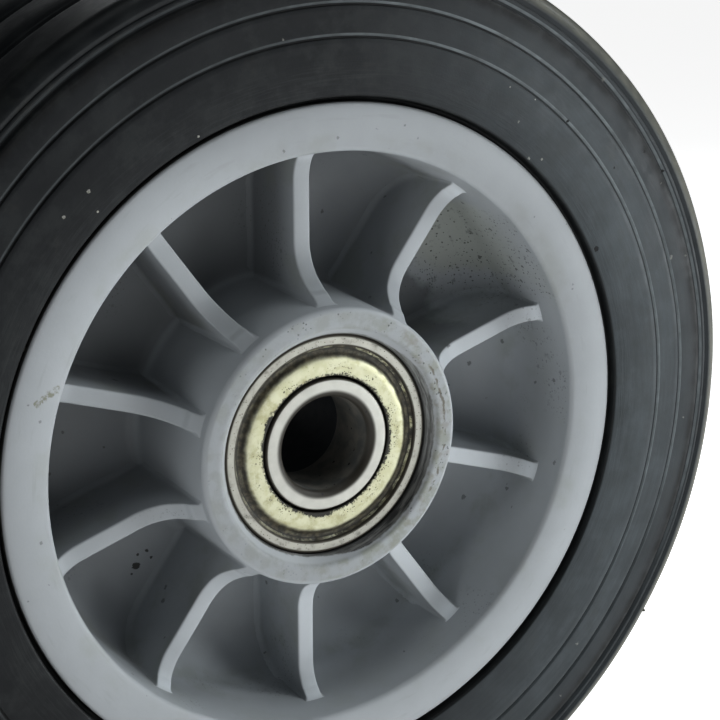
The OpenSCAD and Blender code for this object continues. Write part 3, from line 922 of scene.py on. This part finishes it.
def hidden_steel(name, color, rough, grime):
    """Steel inside the bearings, with a film of old grease."""
    p = Paint(name)
    film = p.times(p.remap(p.noise(1.5, 4, 1), 0.3, 0.7), grime)
    tone = p.shade(color, p.remap(p.noise(5, 2, 2), 0.3, 0.7, 0.92, 1.05))
    p.bump((p.noise(0.4, 3, 3), 0.006))
    rough = p.math("ADD", rough, p.times(film, 0.3))
    return p.done(p.blend(tone, GRIME_AND_SHADE, film), rough, p.math("SUBTRACT", 1, film))


def spacer_material():
    """A plated tube, painted dark on the inside as shade in the bore."""
    p = Paint("spacer_steel")
    mid = p.noise(1.8, 4, 1)
    inside = p.remap(p.r, 9.6, 9.1)
    color = p.blend((0.50, 0.51, 0.52), (0.050, 0.060, 0.072), inside)
    p.bump((mid, 0.02))
    return p.done(p.shade(color, p.remap(mid, 0.3, 0.7, 0.85, 1.1)), 0.6, p.math("SUBTRACT", 1, inside))


def floor_material():
    """A pale table top, lit a little from within like a light table."""
    p = Paint("floor_pale", 0.2)
    tone = p.remap(p.noise(60, 2, 1), 0.3, 0.7, 0.985, 1.01)
    p.bump((p.noise(1.5, 2, 2), 0.01))
    p.shader.inputs["Emission Color"].default_value = (1, 1, 1, 1)
    p.shader.inputs["Emission Strength"].default_value = FLOOR_GLOW
    return p.done(p.shade((0.90, 0.90, 0.895), tone), 0.75)


def dress(obj, material):
    obj.data.materials.clear()
    obj.data.materials.append(material)


# ------------------------------------------------------------------- stage
FLOOR_SPAN = 6.0
FLOOR_GLOW = 0.9
ROOM = 0.03
BACKDROP = 0.9
LAMP_TINT = (0.965, 1.0, 1.015)
PANEL_FAR = 0.5
VIEW_GAMMA = 0.82
CAMERA_AT = (-0.12643, -0.22367 - BEARING_H * MM, 0.09189)
CAMERA_TURN = (math.radians(73.04), 0, math.radians(-30.58))
CAMERA_LENS = 89.5


def make_stage():
    low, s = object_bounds()[0].z, FLOOR_SPAN
    mesh = bpy.data.meshes.new("floor")
    mesh.from_pydata([(-s, -s, low), (s, -s, low), (s, s, low), (-s, s, low)], [], [(0, 1, 2, 3)])
    floor = bpy.data.objects.new("floor", mesh)
    bpy.context.scene.collection.objects.link(floor)
    dress(floor, floor_material())


def make_camera():
    data = bpy.data.cameras.new("camera")
    data.sensor_width = 36.0
    data.lens = CAMERA_LENS
    data.clip_start = 0.01
    camera = bpy.data.objects.new("camera", data)
    camera.location, camera.rotation_euler = CAMERA_AT, CAMERA_TURN
    bpy.context.scene.collection.objects.link(camera)
    bpy.context.scene.camera = camera


def soft_panel(name, off_axis, clock, size, power):
    """A soft box that faces the wheel.

    off_axis is its angle from straight in front, and clock its angle round the axle, anticlockwise
    from the right; both are in degrees.
    """
    data = bpy.data.lights.new(name, "AREA")
    data.shape = "RECTANGLE"
    data.size, data.size_y = size
    data.energy = power
    data.color = LAMP_TINT
    panel = bpy.data.objects.new(name, data)
    a, b = math.radians(off_axis), math.radians(clock)
    aside = PANEL_FAR * math.sin(a)
    panel.location = (aside * math.cos(b), -PANEL_FAR * math.cos(a), aside * math.sin(b))
    panel.rotation_euler = (-panel.location).to_track_quat("-Z", "Y").to_euler()
    bpy.context.scene.collection.objects.link(panel)


def make_light():
    """Soft boxes round the wheel, strongest high on its right, in a dim room."""
    world = bpy.data.worlds.new("studio")
    bpy.context.scene.world = world
    world.use_nodes = True
    nodes, links = world.node_tree.nodes, world.node_tree.links
    sky = nodes["Background"]
    sky.inputs["Color"].default_value = (0.95, 0.98, 1.0, 1)
    # the dim room shows as a pale backdrop wherever the camera looks past the floor
    seen = nodes.new("ShaderNodeMapRange")
    seen.inputs["To Min"].default_value, seen.inputs["To Max"].default_value = ROOM, BACKDROP
    links.new(nodes.new("ShaderNodeLightPath").outputs["Is Camera Ray"], seen.inputs["Value"])
    links.new(seen.outputs[0], sky.inputs["Strength"])
    soft_panel("right", 45, 0, (0.14, 0.14), 0.32)
    soft_panel("right_high", 46, 35, (0.14, 0.14), 0.30)
    soft_panel("back_right", 75, 35, (0.14, 0.14), 0.86)
    soft_panel("back_top", 75, 90, (0.14, 0.14), 0.36)
    soft_panel("left", 72, 180, (0.14, 0.14), 0.26)
    soft_panel("sheen", 62, -3, (0.26, 0.12), 0.58)
    soft_panel("rear", 140, 60, (0.20, 0.20), 0.70)
    view = bpy.context.scene.view_settings
    view.view_transform = "Standard"
    view.gamma = VIEW_GAMMA


tyre = make_tyre()
moulding = make_moulding()
bearings = make_bearings()

dress(tyre, rubber_material())
dress(moulding, plastic_material())
steel, plating = ring_material(), shield_material()
for ring in bearings["rings"]:
    dress(ring, steel)
for shield in bearings["shields"]:
    dress(shield, plating)
cage_steel = hidden_steel("cage_steel", (0.52, 0.48, 0.38), 0.38, 0.7)
ball_steel = hidden_steel("ball_steel", (0.72, 0.72, 0.71), 0.12, 0.25)
dress(bpy.data.objects["spacer_tube"], spacer_material())
for end in ("front", "rear"):
    dress(bpy.data.objects[f"{end}_inner_shield"], plating)
    for part in ("cage_outer_half", "cage_inner_half", "cage_rivets"):
        dress(bpy.data.objects[f"{end}_{part}"], cage_steel)
    for number in range(1, BALLS + 1):
        dress(bpy.data.objects[f"{end}_ball_{number}"], ball_steel)

make_stage()
make_camera()
make_light()
